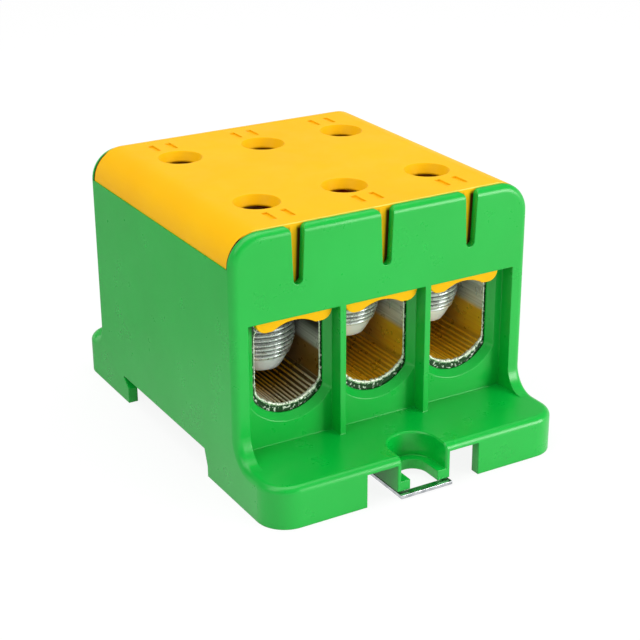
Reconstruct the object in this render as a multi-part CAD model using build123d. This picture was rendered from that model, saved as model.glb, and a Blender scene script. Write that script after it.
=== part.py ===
from build123d import *
import math
import os

# Feed-through terminal block with three poles, in millimetres.
# X runs along the row of poles, -Y is the front with the rail latch, +Z is up.
# The origin is on the underside of the feet, below the middle of the poles.

# Poles and walls across the width
pitch = 19.5            # from one pole to the next
end_room = 10.7         # from the outer poles to the side walls
side_wall = 3.3
partition = 1.3         # wall between two poles

# Body from front to back
body_half_depth = 32.7  # outer face of the upper front and back walls
upper_wall = 1.6
skirt_gap = 1.6         # slot that the cover's skirt drops into
mouth_wall = 1.4        # wall with the conductor mouths
front_ledge = 14.2      # reach of the base in front of the body
back_ledge = 10.4       # reach of the base behind the body
foot_wall = 2.1         # walls round the hollow base

# Heights
rail_seat_z = 5.7       # ceiling of the rail channel
ledge_z = 8.6           # top of the base in front of the mouths
ledge_skin = 1.6
floor_z = 12.1          # what the connector bars stand on
floor_skin = 1.5
bay_top_z = 36.0        # lower edge of the upper walls
top_z = 53.7            # top of the upper walls
shoulder_r = 6.4        # the cover meets the side walls where its shoulders end
mouth_wall_drop = 1.3   # the walls with the mouths end this far below that seam

# Roundings of the housing
plan_corner_r = 6.0
flare_r = 5.0
rim_r = 1.5

# Notches in the upper walls
notch_width = 2.8
notch_foot_r = 1.0
notch_length = 11.4
notch_lead_r = 1.1

# Conductor mouths
mouth_margin = 0.4      # the mouth is this much wider than the bore on each side
mouth_foot_z = 14.3
mouth_arc_r = 9.4
mouth_corner_r = 2.0
funnel = 1.4
funnel_corner_r = 0.8

# Rail channel, for a rail 35 mm wide
rail_width = 35.0
rail_sheet = 1.0
rail_back_y = 20.2      # back edge of the rail once it is hooked in
hook_reach = 1.9        # how far the fixed hook grips under the rail
hook_z = 3.4            # underside of the rail's edge inside the hook
hook_slope = 0.4
channel_front_y = -20.2
channel_lead = 1.2      # slant of the front foot

# Screw cups in the base
cup_r = 5.1
cup_wall = 0.9
cup_inset = 3.8         # centre of the cup, in from the end of the base
cup_floor_z = 3.4
cup_rim = 0.3           # bevel round the top of each cup
screw_slot_r = 3.2

# Rail latch
latch_sheet = 0.7
latch_z = 0.35          # underside of the pull strip
latch_half = 5.9
latch_out = 1.2         # how far the strip stands out of the base
latch_travel = 3.0
wing_half = 12.0
wing_length = 3.0
wing_root_r = 3.0
wing_z = 1.9
bend_length = 1.4
bend_r = 0.6
grip = 1.4              # how far the tip reaches under the rail
tip_rise_y = 6.1        # length of the rising tip
window_half = 4.8
window_margin = 1.6     # how far the window reaches past the screw slot
strip = 1.6             # strip in front of the window
tab_half = 2.4
latch_gap = 0.2         # running clearance above and below the latch
latch_stop_gap = 0.3
gap_half = 12.9         # opening in the front of the base
guide_wall = 1.4
guide_lip = 1.5

# Latch spring
spring_wire = 0.5
spring_mean_r = 1.5
spring_z = 4.7
spring_turns = 3.5
pin_r = 0.9
pin_length = 1.4
pad_y = 6.3             # seat of the spring, behind the middle of the cup

# Cover
cover_skin = 2.1
cover_gap = 0.2         # the cover lies this far inside the side walls' outline
cover_proud = 0.25      # and its top stands this far above the upper walls
skirt_clear = 0.1
skirt_foot_z = 36.1
tongue_margin = 0.6     # the tongue is this much wider than the mouth on each side
tongue_foot_z = 33.2
tongue_arch = 1.4
tongue_arch_half = 4.6
tongue_corner_r = 2.2
lip = 1.1
lip_length = 2.0
tool_hole_r = 3.6
tool_cone_r = 4.65
tool_cone_depth = 1.8
mark_inset = 7.3        # from the face of the upper wall
mark_offset = 2.0
mark_length = 4.2
mark_width = 1.25
mark_depth = 0.35

# Connector bars
bar_side_gap = 0.15     # to the partitions
bar_gap = 0.2           # to the walls at its ends
bar_lift = 0.05
bar_top_z = 41.5
bore_half = 7.2
bore_foot_z = 15.9
bore_top_z = 33.5
bore_arc_r = 9.0
bore_corner_r = 2.0
bore_top_r = 2.5

# Clamp screws, with the height of each tip as the photograph shows it
screw_inset = 11.25     # from the walls with the mouths
screw_r = 7.0
screw_clear = 0.08
screw_length = 18.0
tip_length = 5.8        # smooth nose below the thread
tip_r = 5.0
socket_across_flats = 5.0
socket_depth = 7.0
left_front_tip_z = 20.1
centre_front_tip_z = 23.2
right_front_tip_z = 22.0
left_rear_tip_z = 24.5
centre_rear_tip_z = 26.5
right_rear_tip_z = 25.5

# Worked out from the sizes above
inner_half = pitch + end_room
half_width = inner_half + side_wall
foot_front = body_half_depth + front_ledge
foot_back = body_half_depth + back_ledge
seam_z = top_z - shoulder_r
lid_top_z = top_z + cover_proud
mouth_wall_z = seam_z - mouth_wall_drop
notch_foot_z = top_z - notch_length
pole_x = {"left": -pitch, "centre": 0.0, "right": pitch}
partition_x = [-pitch / 2, pitch / 2]
slot_y = body_half_depth - upper_wall
recess_y = slot_y - skirt_gap
chamber_y = recess_y - mouth_wall
screw_y = chamber_y - screw_inset
mark_y = body_half_depth - mark_inset
bar_half = pitch / 2 - partition / 2 - bar_side_gap
mouth_half = bore_half + mouth_margin
tongue_half = mouth_half + tongue_margin
lip_foot_z = seam_z - lip_length
tip_heights = {
    ("left", "front"): left_front_tip_z, ("left", "rear"): left_rear_tip_z,
    ("centre", "front"): centre_front_tip_z, ("centre", "rear"): centre_rear_tip_z,
    ("right", "front"): right_front_tip_z, ("right", "rear"): right_rear_tip_z,
}
rail_front_y = rail_back_y - rail_width
cup_front_y = -(foot_front - cup_inset)
cup_back_y = foot_back - cup_inset
cup_outer_r = cup_r + cup_wall
cup_foot_z = latch_z + latch_sheet + latch_stop_gap
middle_y = (foot_back - foot_front - latch_out) / 2
above = top_z + 5.0     # a height clear above everything
below = -1.0            # a height clear below everything
seat_tol = 0.01
past = 1.0              # how far a cut runs past a face


def block(x0, x1, y0, y1, z0, z1):
    """A box between two corners."""
    middle = Pos((x0 + x1) / 2, (y0 + y1) / 2, (z0 + z1) / 2)
    return middle * Box(abs(x1 - x0), abs(y1 - y0), abs(z1 - z0))


def facing_front(y):
    """The plane at y whose drawing has X to the right and Z up."""
    return Plane(origin=(0, y, 0), x_dir=(1, 0, 0), z_dir=(0, -1, 0))


def along_y(drawing, y0, y1):
    """A drawing in X and Z, made solid from y0 to y1."""
    return extrude(facing_front(max(y0, y1)) * drawing, abs(y1 - y0))


def across(drawing, half):
    """A drawing in Y and Z, made solid from -half to half along X."""
    return extrude(Plane.YZ * drawing, half, both=True)


def outline(points):
    return make_face(Polyline(*points, close=True))


def pole_spans(half):
    """The spans of the three poles between the partitions, out to half at the sides."""
    near = (pitch - partition) / 2
    far = (pitch + partition) / 2
    return [(-half, -far), (-near, near), (far, half)]


def both_ends(solid):
    """The solid and its mirror image at the other end of the body."""
    return solid + mirror(solid, about=Plane.XZ)


def round_footed(half, foot_z, arc_r, corner_r, upper_z):
    """A slot with straight sides, a shallow round foot and an open top."""
    rise = arc_r - math.sqrt(arc_r ** 2 - half ** 2)
    foot = ThreePointArc((-half, foot_z + rise), (0, foot_z), (half, foot_z + rise))
    sides = Polyline((half, foot_z + rise), (half, upper_z), (-half, upper_z), (-half, foot_z + rise))
    face = make_face([foot, sides])
    low = [v for v in face.vertices() if v.Y < foot_z + rise + seat_tol]
    return fillet(low, corner_r)


# Housing

def body_profile():
    """Side view of the body and the base, with the flares between them."""
    face = outline([
        (-foot_front, 0), (-foot_front, ledge_z), (-body_half_depth, ledge_z),
        (-body_half_depth, seam_z), (body_half_depth, seam_z),
        (body_half_depth, ledge_z), (foot_back, ledge_z), (foot_back, 0),
    ])
    inner = [v for v in face.vertices()
             if abs(v.Y - ledge_z) < seat_tol and abs(abs(v.X) - body_half_depth) < seat_tol]
    return fillet(inner, flare_r)


def base_plan():
    face = Pos(0, (foot_back - foot_front) / 2) * Rectangle(2 * half_width, foot_front + foot_back)
    return fillet(face.vertices(), plan_corner_r)


def upper_wall_face(half, foot_z, crown_z, shoulder_r):
    """Front view of an upper wall, with round shoulders."""
    face = Pos(0, (foot_z + crown_z) / 2) * Rectangle(2 * half, crown_z - foot_z)
    crown = [v for v in face.vertices() if v.Y > crown_z - seat_tol]
    return fillet(crown, shoulder_r)


def on_rim(edge):
    """True for the edges that run round the outside of the moulding."""
    c = edge.center()
    side = abs(abs(c.X) - half_width) < seat_tol
    on_ledge = abs(c.Z - ledge_z) < seat_tol
    flare_foot = abs(abs(c.Y) - body_half_depth - flare_r) < seat_tol
    if on_ledge:
        return side or not flare_foot
    if side and c.Z > ledge_z and abs(c.Y) > body_half_depth - seat_tol:
        return True
    return c.Z > seam_z + seat_tol and abs(abs(c.Y) - body_half_depth) < seat_tol


def outer_form():
    solid = across(body_profile(), half_width) & extrude(base_plan(), seam_z)
    wall = upper_wall_face(half_width, bay_top_z, top_z, shoulder_r)
    solid += both_ends(along_y(wall, -body_half_depth, -slot_y))
    return fillet([e for e in solid.edges() if on_rim(e)], rim_r)


def bays():
    """The open bays in front of the mouths and the chambers behind them."""
    cut = block(-inner_half, inner_half, -foot_front - past, -body_half_depth, ledge_z, bay_top_z)
    cut += block(-inner_half, inner_half, -slot_y, -recess_y, bay_top_z, above)
    cut += block(-inner_half, inner_half, -recess_y, -chamber_y, mouth_wall_z, above)
    for x0, x1 in pole_spans(inner_half):
        cut += block(x0, x1, -body_half_depth - past, -recess_y, ledge_z, bay_top_z)
    cut = both_ends(cut)
    for x0, x1 in pole_spans(inner_half):
        cut += block(x0, x1, -chamber_y, chamber_y, floor_z, above)
    return cut


def mouths():
    """Round-footed mouths with a funnel that leads the conductor in."""
    inner = round_footed(mouth_half, mouth_foot_z, mouth_arc_r, mouth_corner_r, above)
    outer = round_footed(mouth_half + funnel, mouth_foot_z - funnel, mouth_arc_r + funnel,
                         funnel_corner_r, above + funnel)
    hole = along_y(inner, -recess_y - seat_tol, -chamber_y + seat_tol)
    lead = loft([facing_front(-recess_y) * outer, facing_front(-recess_y + funnel) * inner], ruled=True)
    pole = hole + lead
    return both_ends(Compound([Pos(x, 0, 0) * pole for x in pole_x.values()]))


def notches():
    """Tapered notches that are open at the top of the upper walls."""
    half = notch_width / 2
    shoulder = top_z - notch_lead_r
    foot = notch_foot_z + notch_foot_r
    right = [
        Line((notch_foot_r, foot), (half, shoulder)),
        RadiusArc((half, shoulder), (half + notch_lead_r, top_z), notch_lead_r),
        Line((half + notch_lead_r, top_z), (half + notch_lead_r, above)),
    ]
    left = [mirror(edge, about=Plane.YZ) for edge in right]
    ends = [
        ThreePointArc((-notch_foot_r, foot), (0, notch_foot_z), (notch_foot_r, foot)),
        Line((-half - notch_lead_r, above), (half + notch_lead_r, above)),
    ]
    cut = along_y(make_face(right + left + ends), -body_half_depth - past, -slot_y + seat_tol)
    return both_ends(Compound([Pos(x, 0, 0) * cut for x in pole_x.values()]))


def base_hollows():
    """The base is a shell that is open underneath."""
    foot_half = half_width - foot_wall
    cut = Compound([block(x0, x1, -chamber_y, chamber_y, below, floor_z - floor_skin)
                    for x0, x1 in pole_spans(foot_half)])
    for end, reach in ((-1, foot_front), (1, foot_back)):
        y0, y1 = sorted((end * recess_y, end * (reach - foot_wall)))
        face = Pos(0, (y0 + y1) / 2) * Rectangle(2 * foot_half, y1 - y0)
        far = [v for v in face.vertices() if abs(v.Y) > recess_y + seat_tol]
        face = fillet(far, plan_corner_r - foot_wall)
        cut += Pos(0, 0, below) * extrude(face, ledge_z - ledge_skin - below)
    return cut


def rail_channel():
    """Room for the rail, with the fixed hook at the back."""
    hook_y = rail_back_y - hook_reach
    face = outline([
        (channel_front_y, below), (channel_front_y, hook_z - channel_lead),
        (channel_front_y + channel_lead, rail_seat_z), (rail_back_y, rail_seat_z),
        (rail_back_y + hook_slope, rail_seat_z - hook_slope),
        (hook_y, hook_z), (hook_y, below),
    ])
    return across(face, half_width + past)


def cup_plan(radius, centre_y, end_y):
    """A round that is open towards the end of the base."""
    y0, y1 = sorted((centre_y, end_y))
    return Pos(0, centre_y) * Circle(radius) + Pos(0, (y0 + y1) / 2) * Rectangle(2 * radius, y1 - y0)


def cup_bosses():
    """Rounds with straight flanks that hang from the ledge, cut off at the base's ends."""
    ceiling = ledge_z - ledge_skin
    solid = Compound([])
    for centre, end in ((cup_front_y, -foot_front), (cup_back_y, foot_back)):
        solid += Pos(0, 0, cup_foot_z) * extrude(cup_plan(cup_outer_r, centre, end), ceiling - cup_foot_z)
        inward = centre - math.copysign(cup_outer_r, centre)
        for side in (-1, 1):
            y0, y1 = sorted((inward, end))
            solid += block(side * cup_r, side * cup_outer_r, y0, y1, cup_foot_z, ceiling)
    return solid & extrude(base_plan(), ceiling)


def cup_hollows():
    cut = Compound([])
    for centre, end in ((cup_front_y, -foot_front - past), (cup_back_y, foot_back + past)):
        cut += Pos(0, 0, cup_floor_z) * extrude(cup_plan(cup_r, centre, end), above)
        cut += Pos(0, 0, below) * extrude(cup_plan(screw_slot_r, centre, end), above)
    return cut


def latch_guides():
    """Walls, lips and ribs that keep the latch in line, and the spring's seat."""
    ceiling = ledge_z - ledge_skin
    wing_end = -recess_y - latch_stop_gap - wing_length - latch_travel
    wing_low = wing_z - latch_gap
    wing_high = wing_z + latch_sheet + latch_gap
    solid = Compound([])
    for side in (-1, 1):
        outside = side * (wing_half + latch_gap + guide_wall)
        wall_x = side * (wing_half + latch_gap)
        lip_x = side * (wing_half + latch_gap - guide_lip)
        rib_x = side * (latch_half + 2 * guide_wall)
        solid += block(wall_x, outside, wing_end, -recess_y, wing_low - guide_lip, ceiling)
        solid += block(lip_x, outside, wing_end, -recess_y, wing_low - guide_lip, wing_low)
        solid += block(side * (latch_half + guide_wall), rib_x, wing_end, -recess_y, wing_high, ceiling)
    pad = cup_front_y + pad_y
    solid += block(-tab_half, tab_half, cup_front_y + cup_r, pad, spring_z - tab_half, ceiling)
    solid += Pos(0, pad + pin_length / 2, spring_z) * Rot(90, 0, 0) * Cylinder(pin_r, pin_length)
    return solid


def latch_passages():
    """The opening in the front of the base and the slot for the latch's tongue."""
    ceiling = ledge_z - ledge_skin
    y1 = -foot_front + foot_wall + seat_tol
    cut = Compound([])
    for side in (-1, 1):
        cut += block(side * cup_outer_r, side * gap_half, -foot_front - past, y1, below, ceiling)
    cut += block(-cup_outer_r, cup_outer_r, -foot_front - past, y1, below, cup_foot_z)
    reach = latch_half + latch_stop_gap
    top = wing_z + latch_sheet + latch_stop_gap
    return cut + block(-reach, reach, -recess_y - past, -chamber_y + past, wing_z - latch_stop_gap, top)


def bar_stops():
    """Upright ribs that hold the outer bars in line with the poles."""
    solid = Compound([])
    for side in (-1, 1):
        x0 = side * (pitch + bar_half + bar_gap)
        for y in (-screw_y, screw_y):
            solid += block(x0, side * (inner_half + seat_tol), y - partition / 2, y + partition / 2,
                           floor_z - seat_tol, bar_top_z)
    return solid


def on_cup_rim(edge):
    """True for the arcs where a cup's wall meets the top of the base."""
    c = edge.center()
    if edge.geom_type != GeomType.CIRCLE or abs(c.Z - ledge_z) > seat_tol:
        return False
    return abs(edge.radius - cup_r) < seat_tol


def housing():
    solid = outer_form() - bays() - mouths() - notches() - base_hollows()
    solid += cup_bosses() + latch_guides() + bar_stops()
    solid = solid - cup_hollows() - latch_passages() - rail_channel()
    rims = [e for e in solid.edges() if on_cup_rim(e)]
    return chamfer(rims, cup_rim)


# Cover

def tongue_face():
    """A tongue with two lobes and a shallow arch between them."""
    face = Pos(0, (tongue_foot_z + seam_z) / 2) * Rectangle(2 * tongue_half, seam_z - tongue_foot_z)
    low = [v for v in face.vertices() if v.Y < tongue_foot_z + seat_tol]
    face = fillet(low, tongue_corner_r)
    arch_r = (tongue_arch_half ** 2 + tongue_arch ** 2) / (2 * tongue_arch)
    face -= Pos(0, tongue_foot_z + tongue_arch - arch_r) * Circle(arch_r)
    tips = [v for v in face.vertices()
            if v.Y < tongue_foot_z + seat_tol and abs(abs(v.X) - tongue_arch_half) < seat_tol]
    return fillet(tips, tongue_corner_r / 2)


def tool_hole():
    """A countersunk hole for the key of one clamp screw."""
    cone_z = lid_top_z - tool_cone_depth
    cone = Pos(0, 0, cone_z + tool_cone_depth / 2) * Cone(tool_hole_r, tool_cone_r, tool_cone_depth)
    return cone + Pos(0, 0, cone_z) * Cylinder(tool_hole_r, 4 * cover_skin)


def cover():
    half = half_width - cover_gap
    shoulder = lid_top_z - seam_z
    end = slot_y - skirt_clear
    outer = upper_wall_face(half, seam_z, lid_top_z, shoulder)
    inner = upper_wall_face(half - cover_skin, seam_z - past, lid_top_z - cover_skin, shoulder - cover_skin)
    solid = along_y(outer - inner, -end, end)
    lip_half = inner_half - skirt_clear
    skirt_in = recess_y + skirt_clear
    sheet = Pos(0, (skirt_foot_z + lid_top_z - cover_skin / 2) / 2) * Rectangle(
        2 * lip_half, lid_top_z - cover_skin / 2 - skirt_foot_z)
    sheet &= upper_wall_face(lip_half, skirt_foot_z, lid_top_z - cover_skin / 2, shoulder)
    for x in pole_x.values():
        sheet += Pos(x, 0) * tongue_face()
    solid += both_ends(along_y(sheet, -end, -skirt_in))
    lip_reach = chamber_y - skirt_clear
    lip_top = seam_z + math.sqrt((shoulder - cover_skin / 2) ** 2 - (lip_half - half + shoulder) ** 2)
    for side in (-1, 1):
        solid += block(side * (lip_half - lip), side * lip_half, -lip_reach, lip_reach, lip_foot_z, lip_top)
    for x in pole_x.values():
        for y in (-screw_y, screw_y):
            solid -= Pos(x, y, 0) * tool_hole()
            end_y = math.copysign(mark_y, y)
            for dx in (-mark_offset, mark_offset):
                mark = Box(mark_width, mark_length, 2 * mark_depth)
                solid -= Pos(x + dx, end_y, lid_top_z) * mark
    return solid


# Connector bars and clamp screws

def connector_bar():
    """A bar with a bore that runs through it and two holes for the screws."""
    foot = floor_z + bar_lift
    face = Pos(0, (foot + bar_top_z) / 2) * Rectangle(2 * bar_half, bar_top_z - foot)
    bore = round_footed(bore_half, bore_foot_z, bore_arc_r, bore_corner_r, bore_top_z)
    upper = [v for v in bore.vertices() if v.Y > bore_top_z - seat_tol]
    face -= fillet(upper, bore_top_r)
    reach = chamber_y - bar_gap
    solid = along_y(face, -reach, reach)
    hole_foot = bore_top_z - bore_top_r
    height = bar_top_z + past - hole_foot
    for y in (-screw_y, screw_y):
        solid -= Pos(0, y, hole_foot + height / 2) * Cylinder(screw_r + screw_clear, height)
    return solid


def clamp_screw():
    """A set screw with a smooth nose and a hexagon socket."""
    half_view = outline([
        (0, 0), (tip_r, 0), (tip_r, tip_length), (screw_r, tip_length),
        (screw_r, screw_length), (0, screw_length),
    ])
    solid = revolve(Plane.XZ * half_view, Axis.Z)
    socket = extrude(RegularPolygon(socket_across_flats / 2 / math.cos(math.pi / 6), 6), socket_depth)
    return solid - Pos(0, 0, screw_length - socket_depth) * socket


# Rail latch and its spring

def latch_plan():
    """Top view of the latch: pull strip, wings and tongue."""
    y_front = -foot_front - latch_out
    y_tip = rail_front_y + grip
    y_stop = -recess_y - latch_stop_gap
    y_wing = y_stop - wing_length
    right = [(latch_half, y_front), (latch_half, y_wing), (wing_half, y_wing),
             (wing_half, y_stop), (latch_half, y_stop), (latch_half, y_tip)]
    left = [(-x, y) for x, y in reversed(right)]
    face = outline(right + left)
    roots = [v for v in face.vertices() if abs(v.Y - y_wing) < seat_tol and abs(v.X) < wing_half - seat_tol]
    face = fillet(roots, wing_root_r)
    y0 = y_front + strip
    y1 = cup_front_y + screw_slot_r + window_margin
    window = Pos(0, (y0 + y1) / 2) * Rectangle(2 * window_half, y1 - y0)
    return face - fillet(window.vertices(), latch_sheet)


def rail_latch():
    """Sheet steel slider with a step, two wings, a spring tab and a rising tip."""
    y_front = -foot_front - latch_out
    y_tip = rail_front_y + grip
    y_stop = -recess_y - latch_stop_gap
    y_step = y_stop - wing_length
    low = latch_z + latch_sheet / 2
    high = wing_z + latch_sheet / 2
    tip = rail_seat_z - rail_sheet - latch_stop_gap - latch_sheet / 2
    path = FilletPolyline(
        (y_front, low), (y_step - bend_length, low), (y_step, high),
        (y_tip - tip_rise_y, high), (y_tip, tip), radius=bend_r)
    solid = across(trace(path, latch_sheet), wing_half)
    solid &= extrude(latch_plan(), ledge_z)
    y_tab = (y_step + y_stop) / 2
    top = spring_z + spring_mean_r + spring_wire
    solid += block(-tab_half, tab_half, y_tab - latch_sheet / 2, y_tab + latch_sheet / 2, high, top)
    return solid


def latch_spring():
    """Coil spring from the back of the cup to the latch's tab."""
    y0 = cup_front_y + pad_y
    y1 = -recess_y - latch_stop_gap - wing_length / 2 - latch_sheet / 2
    play = latch_gap / 2
    length = y1 - y0 - 2 * play - spring_wire
    coil = Helix(length / spring_turns, length, spring_mean_r)
    wire = Plane(origin=coil @ 0, z_dir=coil % 0) * RegularPolygon(spring_wire / 2, 5)
    solid = sweep(wire, path=coil)
    return Pos(0, y0 + play + spring_wire / 2, spring_z) * Rot(-90, 0, 0) * solid


def main():
    nodes = {
        "housing": housing(),
        "cover": cover(),
        "rail_latch": rail_latch(),
        "latch_spring": latch_spring(),
    }
    bar = connector_bar()
    screw = clamp_screw()
    for name, x in pole_x.items():
        nodes[f"terminal_{name}"] = Pos(x, 0, 0) * bar
        for end, y in (("front", -screw_y), ("rear", screw_y)):
            nodes[f"clamp_screw_{name}_{end}"] = Pos(x, y, tip_heights[name, end]) * screw
    os.makedirs("parts", exist_ok=True)
    for name, solid in nodes.items():
        solid = Pos(0, -middle_y, 0) * solid
        export_step(solid, f"parts/{name}.step")
        print(name, "solids", len(solid.solids()), "volume", round(solid.volume, 1))


main()
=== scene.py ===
import math
import bmesh
import bpy
from mathutils import Matrix, Vector


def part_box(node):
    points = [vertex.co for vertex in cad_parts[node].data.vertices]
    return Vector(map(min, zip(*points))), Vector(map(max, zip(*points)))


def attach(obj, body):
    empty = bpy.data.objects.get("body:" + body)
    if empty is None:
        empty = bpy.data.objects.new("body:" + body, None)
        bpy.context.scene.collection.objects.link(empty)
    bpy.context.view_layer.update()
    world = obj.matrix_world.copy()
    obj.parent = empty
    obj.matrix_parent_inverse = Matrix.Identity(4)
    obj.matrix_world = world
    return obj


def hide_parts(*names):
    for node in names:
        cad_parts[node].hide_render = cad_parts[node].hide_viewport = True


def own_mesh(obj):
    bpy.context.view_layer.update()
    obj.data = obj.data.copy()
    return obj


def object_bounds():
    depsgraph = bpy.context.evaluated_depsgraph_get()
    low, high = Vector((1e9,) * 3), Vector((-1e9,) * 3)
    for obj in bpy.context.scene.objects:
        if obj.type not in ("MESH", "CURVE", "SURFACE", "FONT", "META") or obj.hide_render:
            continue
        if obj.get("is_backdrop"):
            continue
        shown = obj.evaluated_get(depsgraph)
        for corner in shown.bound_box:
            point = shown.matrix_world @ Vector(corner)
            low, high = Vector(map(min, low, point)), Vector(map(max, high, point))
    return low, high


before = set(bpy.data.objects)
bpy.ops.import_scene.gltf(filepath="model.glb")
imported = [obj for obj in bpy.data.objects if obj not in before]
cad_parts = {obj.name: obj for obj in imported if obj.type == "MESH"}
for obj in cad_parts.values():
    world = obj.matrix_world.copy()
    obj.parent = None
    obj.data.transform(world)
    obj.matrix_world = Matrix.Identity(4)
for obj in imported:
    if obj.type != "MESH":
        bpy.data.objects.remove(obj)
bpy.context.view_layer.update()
print("frame loaded with", len(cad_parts), "nodes")

mm = 0.001
polePitch = 19.5 * mm
poleX = {"left": -polePitch, "centre": 0.0, "right": polePitch}
middleY = 2.5 * mm  # the base reaches further out in front, so the poles stand behind the middle


# Small helpers for node trees

def plug(tree, value, socket):
    if isinstance(value, bpy.types.NodeSocket):
        tree.links.new(value, socket)
    else:
        socket.default_value = value


def addNode(tree, kind, values=None, **settings):
    node = tree.nodes.new(kind)
    for name, value in settings.items():
        setattr(node, name, value)
    for socket, value in (values or {}).items():  # a socket's name, or its number where names repeat
        plug(tree, value, node.inputs[socket])
    return node


def calc(tree, operation, *values):
    return addNode(tree, "ShaderNodeMath", dict(enumerate(values)), operation=operation).outputs[0]


def product(tree, first, *others):
    for other in others:
        first = calc(tree, "MULTIPLY", first, other)
    return first


def above(tree, value, limit):
    return calc(tree, "GREATER_THAN", value, limit)


def below(tree, value, limit):
    return calc(tree, "LESS_THAN", value, limit)


def distance(tree, first, second):
    return calc(tree, "SQRT", calc(tree, "ADD", product(tree, first, first), product(tree, second, second)))


def between(tree, value, low, high, toLow=0.0, toHigh=1.0, smooth=False):
    values = dict(enumerate((value, low, high, toLow, toHigh)))
    kind = "SMOOTHSTEP" if smooth else "LINEAR"
    return addNode(tree, "ShaderNodeMapRange", values, interpolation_type=kind).outputs[0]


def split(tree, vector):
    return addNode(tree, "ShaderNodeSeparateXYZ", {0: vector}).outputs


def objectPlace(tree):
    return split(tree, addNode(tree, "ShaderNodeTexCoord").outputs["Object"])


def ramp(tree, factor, stops, colours):
    node = addNode(tree, "ShaderNodeValToRGB", {"Fac": factor})
    for element, stop, colour in zip(node.color_ramp.elements, stops, colours):
        element.position = stop
        element.color = (*colour, 1.0)
    return node.outputs["Color"]


def blendColour(tree, factor, first, second):
    values = {0: factor}
    for socket, colour in ((6, first), (7, second)):
        values[socket] = colour if isinstance(colour, bpy.types.NodeSocket) else (*colour, 1.0)
    return addNode(tree, "ShaderNodeMix", values, data_type="RGBA").outputs[2]


def noisePattern(tree, scale, stretch=(1, 1, 1), detail=2.0, roughness=0.5):
    place = addNode(tree, "ShaderNodeTexCoord").outputs["Object"]
    mapping = addNode(tree, "ShaderNodeMapping", {"Scale": stretch, "Vector": place})
    return addNode(tree, "ShaderNodeTexNoise", {
        "Scale": scale, "Detail": detail, "Roughness": roughness,
        "Vector": mapping.outputs["Vector"]}).outputs["Fac"]


def newMaterial(name):
    material = bpy.data.materials.new(name)
    material.use_nodes = True
    return material, material.node_tree, material.node_tree.nodes["Principled BSDF"]


noiseSwing = (0.3, 0.7)  # nearly all of a noise pattern's values lie between these


def patchyGloss(tree, pattern, gloss):
    return between(tree, pattern, *noiseSwing, *gloss)


def roundedBump(tree, shader, height, strength, depth, edge=0.0):
    bump = addNode(tree, "ShaderNodeBump", {"Strength": strength, "Distance": depth, "Height": height})
    if edge:
        bevel = addNode(tree, "ShaderNodeBevel", {"Radius": edge}, samples=8)
        plug(tree, bevel.outputs["Normal"], bump.inputs["Normal"])
    plug(tree, bump.outputs["Normal"], shader.inputs["Normal"])


def fromMiddle(tree, y):
    return calc(tree, "ABSOLUTE", calc(tree, "SUBTRACT", y, middleY))


def fromPole(tree, x):
    return calc(tree, "WRAP", x, polePitch / 2, -polePitch / 2)


# Moulded plastic of the housing and the cover

mouldedSurface = {
    "cloud": {"scale": 45.0, "detail": 3.0},
    "patches": {"scale": 160.0, "detail": 4.0, "roughness": 0.6},
    "fine": {"scale": 2600.0},
    "broad": {"scale": 60.0, "detail": 1.0},
    "broadShare": 3.0,
    "bump": 0.3,
}
greenPlastic = {
    "deep": (0.0, 0.45, 0.040),
    "plain": (0.0, 0.49, 0.047),
    "gloss": (0.26, 0.34),
    "specular": 0.5,
    "grain": 0.000012,
    "edge": 0.0003,
    "underLid": (1.0, 0.14, 0.0),  # painted shade: what the tool holes show of the housing is dark red, for light that passes through the yellow lid
    "underLidSpan": (29.0 * mm, 27.0 * mm, 42.0 * mm),  # half width, half depth and foot
}
yellowPlastic = {
    "deep": (0.98, 0.50, 0.0),
    "plain": (1.0, 0.54, 0.001),
    "gloss": (0.40, 0.50),
    "specular": 0.12,
    "grain": 0.00002,
    "edge": 0.0003,
    "shade": (0.05, 0.012, 0.0),  # on the skirt where a notch shows it, beside the notch's middle
    "skirtY": 30.6 * mm,
    "notchHeights": (41.0 * mm, 52.5 * mm),
    "notchTop": (52.6 * mm, 53.4 * mm),
    "shadeStarts": (0.0 * mm, 0.45 * mm),  # from the middle, at the notch's foot and at its top
    "shadeWidth": 0.55 * mm,
    # painted shade on the floors of the recessed marks
    "paintedMarkShade": (1.0, 0.49, 0.0),
    "markX": 25.0 * mm,
    "markY": 23.2 * mm,
    "markZ": (53.40 * mm, 53.75 * mm),
    # painted highlight along the cover's front top edge
    "rim": (1.0, 0.78, 0.12),
    "rimY": 30.95 * mm,
    "rimZ": 53.72 * mm,
}


def mouldedPlastic(name, look, shade):
    surface = mouldedSurface
    material, tree, shader = newMaterial(name)
    cloud = noisePattern(tree, **surface["cloud"])
    colour = ramp(tree, cloud, noiseSwing, (look["deep"], look["plain"]))
    plug(tree, shade(tree, look, colour), shader.inputs["Base Color"])
    plug(tree, look["specular"], shader.inputs["Specular IOR Level"])
    patches = noisePattern(tree, **surface["patches"])
    plug(tree, patchyGloss(tree, patches, look["gloss"]), shader.inputs["Roughness"])
    fine = noisePattern(tree, **surface["fine"])
    broad = noisePattern(tree, **surface["broad"])
    relief = calc(tree, "MULTIPLY_ADD", broad, surface["broadShare"], fine)
    roundedBump(tree, shader, relief, surface["bump"], look["grain"], look["edge"])
    return material


def housingShade(tree, look, colour):
    x, y, z = objectPlace(tree)
    halfWidth, halfDepth, foot = look["underLidSpan"]
    # painted red shade on the housing under the lid
    underLid = product(tree, below(tree, calc(tree, "ABSOLUTE", x), halfWidth),
                       below(tree, fromMiddle(tree, y), halfDepth), above(tree, z, foot))
    return blendColour(tree, underLid, colour, look["underLid"])


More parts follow.
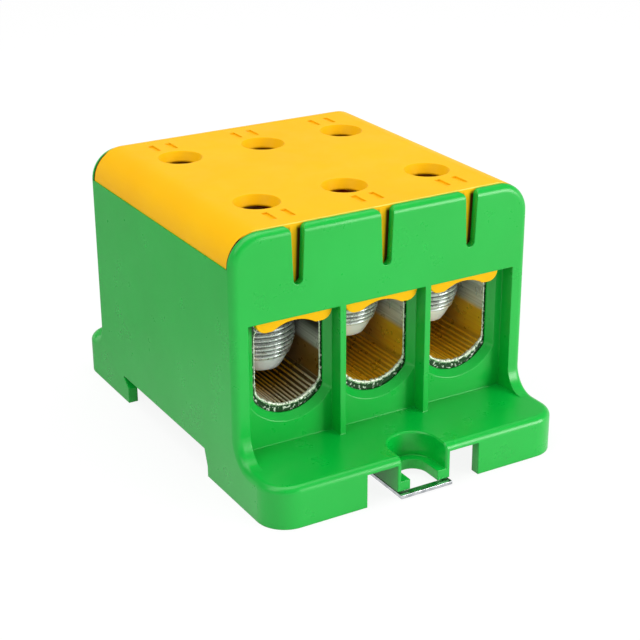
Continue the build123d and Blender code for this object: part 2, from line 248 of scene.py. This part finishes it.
def lidShade(tree, look, colour):
    x, y, z = objectPlace(tree)
    across = calc(tree, "ABSOLUTE", fromPole(tree, x))
    along = fromMiddle(tree, y)
    notchFoot = look["notchHeights"][0]
    start = between(tree, z, *look["notchHeights"], *look["shadeStarts"])
    dim = between(tree, calc(tree, "SUBTRACT", across, start), 0.0, look["shadeWidth"], smooth=True)
    inNotch = product(tree, between(tree, z, *look["notchTop"], 1.0, 0.0), above(tree, z, notchFoot))
    dim = product(tree, above(tree, along, look["skirtY"]), dim, inNotch)
    colour = blendColour(tree, dim, colour, look["shade"])
    # painted shade on the floors of the recessed marks
    floor, top = look["markZ"]
    inMark = product(tree, above(tree, z, floor), below(tree, z, top), above(tree, along, look["markY"]),
                     below(tree, along, look["skirtY"]),
                     below(tree, calc(tree, "ABSOLUTE", x), look["markX"]))
    colour = blendColour(tree, inMark, colour, look["paintedMarkShade"])
    # painted highlight along the cover's front top edge
    onRim = product(tree, above(tree, z, look["rimZ"]), above(tree, along, look["rimY"]))
    return blendColour(tree, onRim, colour, look["rim"])


# Plated bars: pale walls, warm grooved floors and sawn ends; the warm tone is a painted reflection, and
# painted light and painted shade lie in the bores and on the ends

platedMetal = {
    "streaks": {"scale": 1.0, "stretch": (2600, 25, 2600), "detail": 3.0, "roughness": 0.6},
    "spots": {"scale": 420.0, "detail": 3.0},
    "metallic": 0.4,
    "gloss": (0.24, 0.40),
    "bump": (0.5, 0.00003),
    "silver": (0.80, 0.79, 0.75),
    "shade": (0.50, 0.49, 0.46),
    "paleStops": (0.35, 0.62),
    # painted warm reflection of the light that the yellow cover sends into the bores
    "paintedGoldReflection": (1.0, 0.63, 0.035),
    "paintedBrownReflection": (0.92, 0.52, 0.02),
    "warmStops": (0.36, 0.60),
    "boreHalf": 8.3 * mm,
    "goldenTop": (25.0 * mm, 26.3 * mm),  # heights between which the painted warm reflection ends
    "wallZ": 19.6 * mm,
    "axisZ": 24.9 * mm,
    "groove": (8.74 * mm, 8.94 * mm),  # from the bore's axis: the ridges' tops and the lines between
    # painted shade in the lines between the ridges, darker in the left bore, whose walls are painted a darker
    # brown too
    "paintedGrooveShade": (0.62, 0.34, 0.012),
    "paintedLeftGrooveShade": (0.13, 0.072, 0.012),
    "paintedLeftShade": (0.28, 0.135, 0.02),
    "paintedFrontLight": (0.95, 0.90, 0.76),  # painted light: the left floor is paler in front, towards the opening
    "creamY": (-15.0 * mm, -23.0 * mm),
    "creamShare": 0.8,
    "paintedLidShadow": (0.05, 0.042, 0.03),  # and the left walls are dark at the top, a painted shadow of the lid
    "paintedLidShadowZ": (27.6 * mm, 30.4 * mm),
    "paintedDeepShade": (0.22, 0.165, 0.10),  # painted shade: all walls are dimmer further in
    "deepY": (13.0 * mm, 24.0 * mm),
    "deepShare": 0.7,
    "boreEnd": 27.8 * mm,
    # painted shade and a painted green reflection on the sawn end faces, with pale specks
    "end": (0.01, 0.05, 0.012),
    "fleck": (0.75, 0.80, 0.70),
    "flecks": {"scale": 1500.0},
    "fleckStops": (0.56, 0.64),
}


def drawnMetal(name, look):
    material, tree, shader = newMaterial(name)
    x, y, z = objectPlace(tree)
    streaks = noisePattern(tree, **look["streaks"])
    across = fromPole(tree, x)
    along = fromMiddle(tree, y)
    inBore = below(tree, calc(tree, "ABSOLUTE", across), look["boreHalf"])
    onWall = above(tree, z, look["wallZ"])
    onFloor = calc(tree, "SUBTRACT", 1.0, onWall)
    onEnd = above(tree, along, look["boreEnd"])
    leftPole = below(tree, x, -polePitch / 2)
    # painted warm reflection on the floors and lower walls
    warm = ramp(tree, streaks, look["warmStops"], (look["paintedBrownReflection"], look["paintedGoldReflection"]))
    # painted shade: the left bore's walls are darker
    warm = blendColour(tree, product(tree, leftPole, onWall), warm, look["paintedLeftShade"])
    # painted light on the left floor towards the front
    toFront = between(tree, y, *look["creamY"], 0.0, look["creamShare"], smooth=True)
    warm = blendColour(tree, product(tree, leftPole, toFront, onFloor), warm, look["paintedFrontLight"])
    # painted shade in the lines between the ridges
    radial = distance(tree, across, calc(tree, "SUBTRACT", z, look["axisZ"]))
    lines = blendColour(tree, leftPole, look["paintedGrooveShade"], look["paintedLeftGrooveShade"])
    warm = blendColour(tree, between(tree, radial, *look["groove"]), warm, lines)
    # painted shade: the walls grow dimmer further into the bore
    deep = product(tree, onWall, between(tree, along, *look["deepY"], look["deepShare"], 0.0, smooth=True))
    warm = blendColour(tree, deep, warm, look["paintedDeepShade"])
    pale = ramp(tree, streaks, look["paleStops"], (look["shade"], look["silver"]))
    # painted shadow of the lid at the top of the left walls
    dull = product(tree, leftPole, between(tree, z, *look["paintedLidShadowZ"], smooth=True))
    pale = blendColour(tree, dull, pale, look["paintedLidShadow"])
    pale = blendColour(tree, product(tree, deep, inBore), pale, look["paintedDeepShade"])
    # below goldenTop the bore shows the painted warm reflection
    inPaintedReflection = product(tree, inBore, between(tree, z, *look["goldenTop"], 1.0, 0.0, smooth=True))
    inside = blendColour(tree, inPaintedReflection, pale, warm)
    # painted shade and green reflection on the sawn end faces
    flecks = noisePattern(tree, **look["flecks"])
    sawn = ramp(tree, flecks, look["fleckStops"], (look["end"], look["fleck"]))
    plug(tree, blendColour(tree, onEnd, inside, sawn), shader.inputs["Base Color"])
    plug(tree, look["metallic"], shader.inputs["Metallic"])
    spots = noisePattern(tree, **look["spots"])
    plug(tree, patchyGloss(tree, spots, look["gloss"]), shader.inputs["Roughness"])
    roundedBump(tree, shader, streaks, *look["bump"])
    return material


# Zinc of the clamp screws: bright crests, painted shade in the thread roots and a pale, duller nose

zincMetal = {
    "rings": {"scale": 1.0, "stretch": (60, 60, 3200)},
    "spots": {"scale": 700.0, "detail": 4.0, "roughness": 0.65},
    "bright": (0.80, 0.86, 0.83),
    "dull": (0.60, 0.65, 0.63),
    "spotStops": (0.30, 0.55),
    # painted shade in the thread roots
    "paintedRootShade": (0.08, 0.09, 0.08),
    "metallic": 0.6,
    "gloss": (0.20, 0.38),
    "nosePale": (0.93, 1.0, 1.0),
    "noseMetallic": 0.15,
    "noseGloss": 0.44,
    "bump": (0.5, 0.00002),
}


def turnedMetal(name, look):
    material, tree, shader = newMaterial(name)
    rings = noisePattern(tree, **look["rings"])
    spots = noisePattern(tree, **look["spots"])
    nose = addNode(tree, "ShaderNodeAttribute", attribute_name="noseShare").outputs["Fac"]
    groove = addNode(tree, "ShaderNodeAttribute", attribute_name="paintedThreadShade").outputs["Fac"]
    wornAndShaded = ramp(tree, spots, look["spotStops"], (look["dull"], look["bright"]))
    # painted shade darkens the thread roots over the worn spots
    wornAndShaded = blendColour(tree, groove, wornAndShaded, look["paintedRootShade"])
    plug(tree, blendColour(tree, nose, wornAndShaded, look["nosePale"]), shader.inputs["Base Color"])
    metallic = between(tree, nose, 0.0, 1.0, look["metallic"], look["noseMetallic"])
    plug(tree, metallic, shader.inputs["Metallic"])
    gloss = calc(tree, "ADD", product(tree, nose, look["noseGloss"]),
                 product(tree, calc(tree, "SUBTRACT", 1.0, nose), patchyGloss(tree, spots, look["gloss"])))
    plug(tree, gloss, shader.inputs["Roughness"])
    roundedBump(tree, shader, calc(tree, "ADD", spots, rings), *look["bump"])
    return material


# Sheet steel of the latch and its spring

sheetSteel = {
    "lines": {"scale": 1.0, "stretch": (40, 1800, 1800)},
    "spots": {"scale": 500.0, "detail": 3.0},
    "bright": (0.62, 0.64, 0.66),
    "dull": (0.38, 0.40, 0.42),
    "spotStops": (0.35, 0.6),
    "gloss": (0.12, 0.28),
    "lineShare": 0.5,
    "bump": (0.4, 0.00005),
    "edge": 0.0002,
}


def sheetMetal(name, look):
    material, tree, shader = newMaterial(name)
    lines = noisePattern(tree, **look["lines"])
    spots = noisePattern(tree, **look["spots"])
    colour = ramp(tree, spots, look["spotStops"], (look["dull"], look["bright"]))
    plug(tree, colour, shader.inputs["Base Color"])
    plug(tree, 1.0, shader.inputs["Metallic"])
    plug(tree, patchyGloss(tree, spots, look["gloss"]), shader.inputs["Roughness"])
    relief = calc(tree, "MULTIPLY_ADD", lines, look["lineShare"], spots)
    roundedBump(tree, shader, relief, *look["bump"], look["edge"])
    return material


finishes = {
    "housing_green": mouldedPlastic("moulded green", greenPlastic, housingShade),
    "cover_yellow": mouldedPlastic("moulded yellow", yellowPlastic, lidShade),
    "plated_metal": drawnMetal("plated bar", platedMetal),
    "screw_steel": turnedMetal("zinc screw", zincMetal),
    "latch_steel": sheetMetal("sheet steel", sheetSteel),
}
nodeFinish = {
    "housing": "housing_green",
    "cover": "cover_yellow",
    "rail_latch": "latch_steel",
    "latch_spring": "latch_steel",
    "terminal_left": "plated_metal",
    "terminal_centre": "plated_metal",
    "terminal_right": "plated_metal",
}
for nodeName, finish in nodeFinish.items():
    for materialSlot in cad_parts[nodeName].material_slots:
        materialSlot.material = finishes[finish]
print("finishes ready:", len(finishes))


# Helpers for meshes and Geometry Nodes

def bridgeRings(mesh, rings):
    around = len(rings[0])
    for lower, upper in zip(rings, rings[1:]):
        for step in range(around):
            after = (step + 1) % around
            mesh.faces.new((lower[step], lower[after], upper[after], upper[step]))


def finishMesh(name, mesh):
    bmesh.ops.recalc_face_normals(mesh, faces=mesh.faces)
    data = bpy.data.meshes.new(name)
    mesh.to_mesh(data)
    mesh.free()
    return data


def startTree(name, inputs):
    tree = bpy.data.node_groups.new(name, "GeometryNodeTree")
    tree.interface.new_socket("Geometry", in_out="INPUT", socket_type="NodeSocketGeometry")
    for label, kind in inputs.items():
        tree.interface.new_socket(label, in_out="INPUT", socket_type="NodeSocket" + kind)
    tree.interface.new_socket("Geometry", in_out="OUTPUT", socket_type="NodeSocketGeometry")
    return tree, addNode(tree, "NodeGroupInput").outputs


def endTree(tree, geometry, finish):
    real = addNode(tree, "GeometryNodeRealizeInstances", {"Geometry": geometry}).outputs["Geometry"]
    painted = addNode(tree, "GeometryNodeSetMaterial", {"Geometry": real, "Material": finish})
    addNode(tree, "NodeGroupOutput", {"Geometry": painted.outputs["Geometry"]})


def combine(tree, x=0.0, y=0.0, z=0.0):
    return addNode(tree, "ShaderNodeCombineXYZ", {0: x, 1: y, 2: z}).outputs[0]


def pointPlace(tree):
    return split(tree, addNode(tree, "GeometryNodeInputPosition").outputs[0])


def storeValue(tree, geometry, name, value):
    values = {"Geometry": geometry, "Name": name, "Value": value}
    store = addNode(tree, "GeometryNodeStoreNamedAttribute", values, data_type="FLOAT", domain="POINT")
    return store.outputs["Geometry"]


def tubeAlong(tree, curve, radius, sides, extra):
    circle = {"Resolution": sides, "Radius": radius}
    profile = addNode(tree, "GeometryNodeCurvePrimitiveCircle", circle, mode="RADIUS").outputs["Curve"]
    tube = addNode(tree, "GeometryNodeCurveToMesh", {"Curve": curve, "Profile Curve": profile, **extra})
    return tube.outputs["Mesh"]


def newPiece(name, mesh):
    piece = bpy.data.objects.new(name, mesh)
    bpy.context.scene.collection.objects.link(piece)
    return piece


def shapeWith(piece, tree, values):
    modifier = piece.modifiers.new("shape", "NODES")
    modifier.node_group = tree
    for item in tree.interface.items_tree:
        if item.in_out == "INPUT" and item.name in values:
            modifier[item.identifier] = values[item.name]
    graph = bpy.context.evaluated_depsgraph_get()
    shaped = bpy.data.meshes.new_from_object(piece.evaluated_get(graph))
    piece.modifiers.clear()
    piece.data = shaped


def settle(piece, body, sharp):
    piece.data.shade_smooth()
    piece.data.set_sharp_from_angle(angle=math.radians(sharp))
    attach(piece, body)


# Clamp screws: a turned blank, whose helical thread the tree then cuts

clampScrew = {
    # the blank, in millimetres
    "around": 72,
    "nose": [(3.6, 0.0), (4.0, 0.2), (4.55, 1.0), (5.1, 2.0), (5.5, 2.8), (5.62, 3.05), (5.95, 3.25)],
    "radius": 7.0,
    "taper": (3.3, 6.05, 6.2),  # height where it starts, radius there, height where it ends
    "rowStep": 0.1,
    "length": 18.0,
    "topBevel": 0.6,
    "socketAcross": 5.0,
    "socketDepth": 7.0,
    "mouthFlare": 1.22,
    "mouthDepth": 0.35,
    "drillPoint": 0.8,
    # the thread
    "threadPitch": 1.0 * mm,
    "threadDepth": 0.42 * mm,
    "threadStart": 3.2 * mm,
    "threadEnd": 17.6 * mm,
    "flank": (0.1, 0.85),  # 0 is the middle of the root and 1 the middle of the crest
    "wallFrom": 0.8,  # only what lies beyond this share of the radius is cut
    "rootFocus": 3.0,
    "sharp": 56,  # edges that turn by more degrees than this stay sharp
    "turned": {"left_front": 20, "centre_front": 95, "right_front": 200,
               "left_rear": 310, "centre_rear": 150, "right_rear": 65},
}


def screwBlank(name, look):
    rows = [(radius, height, False) for radius, height in look["nose"]]
    z, startRadius, taperEnd = look["taper"]
    slope = (look["radius"] - startRadius) / (taperEnd - z)
    while z < look["length"] - look["topBevel"]:
        rows.append((look["radius"] - slope * max(taperEnd - z, 0), z, False))
        z += look["rowStep"]
    top = look["length"]
    apothem = look["socketAcross"] / 2
    rows += [(look["radius"] - look["topBevel"], top, False), (apothem * look["mouthFlare"], top, False),
             (apothem, top - look["mouthDepth"], True), (apothem, top - look["socketDepth"], True)]
    mesh = bmesh.new()
    around = look["around"]
    rings = []
    for radius, height, hexagon in rows:
        ring = []
        for step in range(around):
            angle = 2 * math.pi * step / around
            reach = radius / math.cos(angle % (math.pi / 3) - math.pi / 6) if hexagon else radius
            point = (reach * math.cos(angle) * mm, reach * math.sin(angle) * mm, height * mm)
            ring.append(mesh.verts.new(point))
        rings.append(ring)
    bridgeRings(mesh, rings)
    tip = mesh.verts.new((0, 0, 0))
    well = mesh.verts.new((0, 0, (top - look["socketDepth"] - look["drillPoint"]) * mm))
    for step in range(around):
        after = (step + 1) % around
        mesh.faces.new((rings[0][after], rings[0][step], tip))
        mesh.faces.new((rings[-1][step], rings[-1][after], well))
    return finishMesh(name, mesh)


def threadTree(look):
    tree, given = startTree("helical thread", {
        "Pitch": "Float", "Depth": "Float", "Thread Start": "Float", "Thread End": "Float",
        "Radius": "Float", "Finish": "Material"})
    x, y, z = pointPlace(tree)
    turn = calc(tree, "DIVIDE", calc(tree, "ARCTAN2", y, x), 2 * math.pi)
    phase = calc(tree, "FRACT", calc(tree, "SUBTRACT", calc(tree, "DIVIDE", z, given["Pitch"]), turn))
    flank = calc(tree, "ABSOLUTE", calc(tree, "MULTIPLY_ADD", phase, 2.0, -1.0))
    groove = between(tree, flank, *look["flank"], 1.0, 0.0)
    start, end, pitch = given["Thread Start"], given["Thread End"], given["Pitch"]
    rise = between(tree, z, start, calc(tree, "ADD", start, pitch))
    fall = between(tree, z, calc(tree, "SUBTRACT", end, pitch), end, 1.0, 0.0)
    reach = distance(tree, x, y)
    onWall = above(tree, reach, product(tree, given["Radius"], look["wallFrom"]))
    gate = product(tree, rise, fall, onWall)
    cut = product(tree, groove, gate, given["Depth"])
    share = calc(tree, "DIVIDE", cut, calc(tree, "MAXIMUM", reach, 0.0001))  # never divided by nothing
    inward = combine(tree, product(tree, x, share, -1.0), product(tree, y, share, -1.0))
    marked = storeValue(tree, given["Geometry"], "noseShare", below(tree, z, start))
    # where the painted shade of the thread roots falls
    paintedRootShade = product(tree, calc(tree, "POWER", groove, look["rootFocus"]), gate)
    marked = storeValue(tree, marked, "paintedThreadShade", paintedRootShade)
    moved = addNode(tree, "GeometryNodeSetPosition", {"Geometry": marked, "Offset": inward})
    endTree(tree, moved.outputs["Geometry"], given["Finish"])
    return tree


thread = threadTree(clampScrew)
blank = screwBlank("screw blank", clampScrew)
for label, degrees in clampScrew["turned"].items():
    nodeName = "clamp_screw_" + label
    low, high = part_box(nodeName)
    screw = newPiece("screw_" + label, blank.copy())
    shapeWith(screw, thread, {
        "Pitch": clampScrew["threadPitch"], "Depth": clampScrew["threadDepth"],
        "Thread Start": clampScrew["threadStart"], "Thread End": clampScrew["threadEnd"],
        "Radius": clampScrew["radius"] * mm, "Finish": finishes["screw_steel"]})
    seat = Vector(((low.x + high.x) / 2, (low.y + high.y) / 2, low.z))
    screw.data.transform(Matrix.Translation(seat) @ Matrix.Rotation(math.radians(degrees), 4, "Z"))
    settle(screw, nodeName, clampScrew["sharp"])
    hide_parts(nodeName)
print("clamp screws threaded:", len(clampScrew["turned"]))


# Grooved floors of the bores: one ridge, repeated round the arc

boreFloor = {
    "ridges": 16,
    "arcRadius": 9.0 * mm,
    "halfAngle": math.radians(46.0),
    "centreZ": 24.9 * mm,
    "unevenness": 0.18,
    "heightSwing": 1.5,  # a wider ridge is lower, by this many times as much
    "seeds": {"left": 3, "centre": 11, "right": 24},
    "sharp": 20,
    # one ridge, in millimetres
    "width": 0.62,
    "crownShare": 0.3,
    "height": 0.34,
    "sunk": 0.12,
    "halfLength": 27.75,
    "endRun": 0.5,
    "endShare": 0.35,  # of the height, where it runs out
}


def ridgeMesh(look):
    half = look["width"] / 2
    crown = half * look["crownShare"]
    height, sunk, end, run = look["height"], -look["sunk"], look["halfLength"], look["endRun"]
    section = [(-half, sunk), (half, sunk), (half, 0.0), (crown, height), (-crown, height), (-half, 0.0)]
    mesh = bmesh.new()
    rings = []
    for y, share in ((-end, look["endShare"]), (-end + run, 1.0), (end - run, 1.0), (end, look["endShare"])):
        rings.append([mesh.verts.new((x * mm, y * mm, (z * share if z > 0 else z) * mm)) for x, z in section])
    bridgeRings(mesh, rings)
    mesh.faces.new(rings[0])
    mesh.faces.new(rings[-1][::-1])
    return finishMesh("ridge", mesh)


def ridgeTree(look):
    tree, given = startTree("ridges round an arc", {
        "Ridges": "Int", "Arc Radius": "Float", "Half Angle": "Float", "Centre": "Vector",
        "Unevenness": "Float", "Seed": "Int", "Finish": "Material"})
    line = addNode(tree, "GeometryNodeMeshLine", {"Count": given["Ridges"]})
    index = addNode(tree, "GeometryNodeInputIndex").outputs[0]
    limits = {2: -1.0, 3: 1.0, 8: given["Seed"]}
    wobble = addNode(tree, "FunctionNodeRandomValue", limits, data_type="FLOAT").outputs[1]
    uneven = product(tree, wobble, given["Unevenness"])
    share = calc(tree, "DIVIDE", calc(tree, "ADD", index, uneven),
                 calc(tree, "SUBTRACT", given["Ridges"], 1.0))
    angle = product(tree, calc(tree, "MULTIPLY_ADD", share, 2.0, -1.0), given["Half Angle"])
    spot = combine(tree, product(tree, calc(tree, "SINE", angle), given["Arc Radius"]), 0.0,
                   product(tree, calc(tree, "COSINE", angle), product(tree, given["Arc Radius"], -1.0)))
    placed = addNode(tree, "GeometryNodeSetPosition", {"Geometry": line.outputs[0], "Position": spot})
    size = combine(tree, calc(tree, "ADD", uneven, 1.0), 1.0,
                   calc(tree, "MULTIPLY_ADD", uneven, -look["heightSwing"], 1.0))
    copies = addNode(tree, "GeometryNodeInstanceOnPoints", {
        "Points": placed.outputs["Geometry"], "Instance": given["Geometry"],
        "Rotation": combine(tree, 0.0, product(tree, angle, -1.0)), "Scale": size})
    lifted = addNode(tree, "GeometryNodeTransform", {
        "Geometry": copies.outputs["Instances"], "Translation": given["Centre"]})
    endTree(tree, lifted.outputs["Geometry"], given["Finish"])
    return tree


ridges = ridgeTree(boreFloor)
for label, x in poleX.items():
    piece = newPiece("bore_ridges_" + label, ridgeMesh(boreFloor))
    shapeWith(piece, ridges, {
        "Ridges": boreFloor["ridges"], "Arc Radius": boreFloor["arcRadius"],
        "Half Angle": boreFloor["halfAngle"], "Centre": (x, middleY, boreFloor["centreZ"]),
        "Unevenness": boreFloor["unevenness"], "Seed": boreFloor["seeds"][label],
        "Finish": finishes["plated_metal"]})
    settle(piece, "block", boreFloor["sharp"])
print("bore floors grooved:", len(poleX))


# Spring of the rail latch, coiled at one fixed length; the real spring shortens towards its seat as the latch
# is pulled out

returnSpring = {
    "turns": 3.5,
    "meanRadius": 1.5 * mm,
    "wire": 0.25 * mm,  # its radius
    "startY": -33.9 * mm,
    "length": 4.35 * mm,
    "axisZ": 4.7 * mm,
    "seatY": -34.3 * mm,
    "keep": 0.4,
    "stepsPerTurn": 24,
    "wireSides": 10,
    "sharp": 50,
}


def springTree(look):
    tree, given = startTree("coil spring", {
        "Turns": "Float", "Mean Radius": "Float", "Wire": "Float", "Length": "Float",
        "Start": "Vector", "Finish": "Material"})
    coil = addNode(tree, "GeometryNodeCurveSpiral", {
        "Resolution": look["stepsPerTurn"], "Rotations": given["Turns"], "Height": given["Length"],
        "Start Radius": given["Mean Radius"], "End Radius": given["Mean Radius"]})
    tube = tubeAlong(tree, coil.outputs["Curve"], given["Wire"], look["wireSides"], {"Fill Caps": True})
    laid = addNode(tree, "GeometryNodeTransform", {
        "Geometry": tube, "Translation": given["Start"], "Rotation": (math.radians(-90), 0.0, 0.0)})
    endTree(tree, laid.outputs["Geometry"], given["Finish"])
    return tree


spring = newPiece("return_spring", bpy.data.meshes.new("spring"))
shapeWith(spring, springTree(returnSpring), {
    "Turns": returnSpring["turns"], "Mean Radius": returnSpring["meanRadius"], "Wire": returnSpring["wire"],
    "Length": returnSpring["length"], "Start": (0.0, returnSpring["startY"], returnSpring["axisZ"]),
    "Finish": finishes["latch_steel"]})
settle(spring, "block", returnSpring["sharp"])
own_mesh(spring)
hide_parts("latch_spring")
print("latch spring coiled")


# Burred lips where the bars were sawn to length

sawnLip = {
    # the bore's outline, in millimetres
    "half": 7.2,
    "centreZ": 24.9,
    "arcRadius": 9.0,
    "cornerRadius": 2.0,
    "cornerX": 5.2,
    "cornerZ": 20.21,
    "topZ": 33.5,
    "topRadius": 2.5,
    "arcSteps": (14, 5, 6),
    "endY": 27.9,
    # the burr
    "points": 360,
    "wire": 0.38 * mm,
    "wireSides": 6,
    "roughness": 0.36 * mm,
    "bite": 1700.0,
    "swellStops": (0.35, 0.65),
    "swell": (0.6, 1.3),
    "slim": 0.38,  # the straight sides are thinner than the floor
    "slimZ": (18.0 * mm, 21.5 * mm),
    "sharp": 60,
}
burrMetal = {
    "spots": {"scale": 1900.0, "detail": 3.0, "roughness": 0.7},
    "bright": (0.84, 0.88, 0.74),
    "dark": (0.20, 0.27, 0.16),
    "spotStops": (0.36, 0.48),
    "metallic": 0.35,
    "gloss": 0.4,
    "bump": (0.8, 0.0001),
}


def arcPoints(centreX, centreZ, radius, fromAngle, toAngle, steps):
    points = []
    for step in range(steps + 1):
        angle = math.radians(fromAngle + (toAngle - fromAngle) * step / steps)
        points.append((centreX + radius * math.sin(angle), centreZ - radius * math.cos(angle)))
    return points


def lipOutline(look):
    tangent = math.degrees(math.atan2(look["cornerX"], look["centreZ"] - look["cornerZ"]))
    topX = look["half"] - look["topRadius"]
    topZ = look["topZ"] - look["topRadius"]
    floorSteps, cornerSteps, topSteps = look["arcSteps"]
    right = arcPoints(0, look["centreZ"], look["arcRadius"], 0, tangent, floorSteps)
    right += arcPoints(look["cornerX"], look["cornerZ"], look["cornerRadius"], tangent, 90, cornerSteps)[1:]
    right += arcPoints(topX, topZ, look["topRadius"], 90, 180, topSteps)
    return right + [(-x, z) for x, z in reversed(right[1:])]


def lipMesh(x, look):
    mesh = bmesh.new()
    for end in (-look["endY"], look["endY"]):
        loop = [mesh.verts.new((x + px * mm, middleY + end * mm, pz * mm)) for px, pz in lipOutline(look)]
        for first, second in zip(loop, loop[1:] + loop[:1]):
            mesh.edges.new((first, second))
    return finishMesh("lip outline", mesh)


def lipTree(look):
    tree, given = startTree("burr along an edge", {
        "Points": "Int", "Wire": "Float", "Roughness": "Float", "Bite": "Float", "Slim": "Float",
        "Slim From": "Float", "Slim To": "Float", "Finish": "Material"})
    curve = addNode(tree, "GeometryNodeMeshToCurve", {"Mesh": given["Geometry"]}).outputs["Curve"]
    even = addNode(tree, "GeometryNodeResampleCurve", {"Curve": curve, "Count": given["Points"]})
    pattern = addNode(tree, "ShaderNodeTexNoise", {"Scale": given["Bite"], "Detail": 2.0})
    # half is taken off, so that the line is pushed to both sides
    shift = addNode(tree, "ShaderNodeVectorMath", {
        0: pattern.outputs["Color"], 1: (0.5, 0.5, 0.5)}, operation="SUBTRACT")
    height = pointPlace(tree)["Z"]
    slim = between(tree, height, given["Slim From"], given["Slim To"], 1.0, given["Slim"])
    push = addNode(tree, "ShaderNodeVectorMath", {
        0: shift.outputs[0], "Scale": product(tree, slim, given["Roughness"])}, operation="SCALE")
    moved = addNode(tree, "GeometryNodeSetPosition", {
        "Geometry": even.outputs["Curve"], "Offset": push.outputs[0]}).outputs["Geometry"]
    uneven = between(tree, pattern.outputs["Fac"], *look["swellStops"], *look["swell"])
    thickness = {"Scale": product(tree, slim, uneven)}
    endTree(tree, tubeAlong(tree, moved, given["Wire"], look["wireSides"], thickness), given["Finish"])
    return tree


def burrFinish(look):
    material, tree, shader = newMaterial("sawn burr")
    spots = noisePattern(tree, **look["spots"])
    colour = ramp(tree, spots, look["spotStops"], (look["dark"], look["bright"]))
    plug(tree, colour, shader.inputs["Base Color"])
    plug(tree, look["metallic"], shader.inputs["Metallic"])
    plug(tree, look["gloss"], shader.inputs["Roughness"])
    roundedBump(tree, shader, spots, *look["bump"])
    return material


burr = lipTree(sawnLip)
burrPaint = burrFinish(burrMetal)
for label, x in poleX.items():
    piece = newPiece("sawn_lip_" + label, lipMesh(x, sawnLip))
    shapeWith(piece, burr, {
        "Points": sawnLip["points"], "Wire": sawnLip["wire"], "Roughness": sawnLip["roughness"],
        "Bite": sawnLip["bite"], "Slim": sawnLip["slim"], "Slim From": sawnLip["slimZ"][0],
        "Slim To": sawnLip["slimZ"][1], "Finish": burrPaint})
    settle(piece, "block", sawnLip["sharp"])
print("sawn lips made:", len(poleX))


# Floor, light and camera

studio = {
    "white": (1.0, 1.0, 1.0),
    "card": (0.9, 0.9, 0.9),  # the floor as it lights the part and takes its shadow
    "floorSize": 4.0,
    "shadowShare": 0.13,
    "glow": 1.03,
    "falloffY": (-0.06, 0.06),  # in reflections the floor is darker behind the part
    "farFloor": 0.35,
    "surround": 0.36,
    "backdropTop": (0.10, 0.32),
    "ceiling": 0.30,
    "lamps": {
        # name: place, size, watts
        "overhead": ((0.02, 0.05, 0.75), 0.7, 3.7),
        "front right": ((0.54, -0.62, 0.20), 0.4, 4.45),
        "upper left": ((-0.55, -0.10, 0.62), 0.5, 1.5),
    },
    "aim": (0.0, 0.0, 0.025),
}


def backgroundRay(tree):
    path = addNode(tree, "ShaderNodeLightPath").outputs
    seen = calc(tree, "MAXIMUM", path["Is Camera Ray"], path["Is Glossy Ray"])
    return calc(tree, "MAXIMUM", seen, path["Is Transmission Ray"])


def floorFinish(look):
    material, tree = newMaterial("studio floor")[:2]
    tree.nodes.clear()
    card = addNode(tree, "ShaderNodeBsdfDiffuse", {"Color": (*look["card"], 1.0)})
    inFront = between(tree, objectPlace(tree)["Y"], *look["falloffY"], 1.0, look["farFloor"])
    seenDirectly = addNode(tree, "ShaderNodeLightPath").outputs["Is Camera Ray"]
    strength = product(tree, calc(tree, "MAXIMUM", seenDirectly, inFront), look["glow"])
    glow = addNode(tree, "ShaderNodeEmission", {"Color": (*look["white"], 1.0), "Strength": strength})
    share = product(tree, backgroundRay(tree), 1.0 - look["shadowShare"])
    clean = addNode(tree, "ShaderNodeMixShader", {0: share, 1: card.outputs[0], 2: glow.outputs[0]})
    addNode(tree, "ShaderNodeOutputMaterial", {"Surface": clean.outputs[0]})
    return material


def buildStudio(look):
    half = look["floorSize"] / 2
    corners = [(-half, -half, 0), (half, -half, 0), (half, half, 0), (-half, half, 0)]
    mesh = bpy.data.meshes.new("floor")
    mesh.from_pydata(corners, [], [(0, 1, 2, 3)])
    mesh.materials.append(floorFinish(look))
    newPiece("floor", mesh)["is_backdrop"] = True
    world = bpy.data.worlds.new("studio")
    world.use_nodes = True
    bpy.context.scene.world = world
    tree = world.node_tree
    height = split(tree, addNode(tree, "ShaderNodeTexCoord").outputs["Generated"])["Z"]
    backdrop = between(tree, height, *look["backdropTop"], 1.0, look["ceiling"], smooth=True)
    strength = between(tree, backgroundRay(tree), 0.0, 1.0, look["surround"], backdrop)
    plug(tree, (*look["white"], 1.0), tree.nodes["Background"].inputs["Color"])
    plug(tree, strength, tree.nodes["Background"].inputs["Strength"])
    for name, (place, size, watts) in look["lamps"].items():
        lamp = bpy.data.lights.new(name, "AREA")
        lamp.size = size
        lamp.energy = watts
        holder = bpy.data.objects.new(name, lamp)
        holder.location = place
        holder.rotation_euler = (Vector(look["aim"]) - Vector(place)).to_track_quat("-Z", "Y").to_euler()
        bpy.context.scene.collection.objects.link(holder)


photoCamera = {
    "place": (-0.14932, -0.26095, 0.14732),
    "turn": -30.2231,
    "dip": 22.9648,
    "roll": -0.2813,
    "lens": 86.36,
    "sensor": 36.0,
    "nearest": 0.01,
}


def placeCamera(look):
    data = bpy.data.cameras.new("photo camera")
    data.lens = look["lens"]
    data.sensor_width = look["sensor"]
    data.clip_start = look["nearest"]
    camera = bpy.data.objects.new("photo camera", data)
    turn = Matrix.Rotation(math.radians(look["turn"]), 4, "Z")
    dip = Matrix.Rotation(math.radians(90 - look["dip"]), 4, "X")
    roll = Matrix.Rotation(math.radians(look["roll"]), 4, "Z")
    camera.matrix_world = Matrix.Translation(look["place"]) @ turn @ dip @ roll
    bpy.context.scene.collection.objects.link(camera)
    bpy.context.scene.camera = camera


buildStudio(studio)
placeCamera(photoCamera)
bpy.context.scene.view_settings.view_transform = "Standard"
print("studio and camera placed")

low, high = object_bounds()
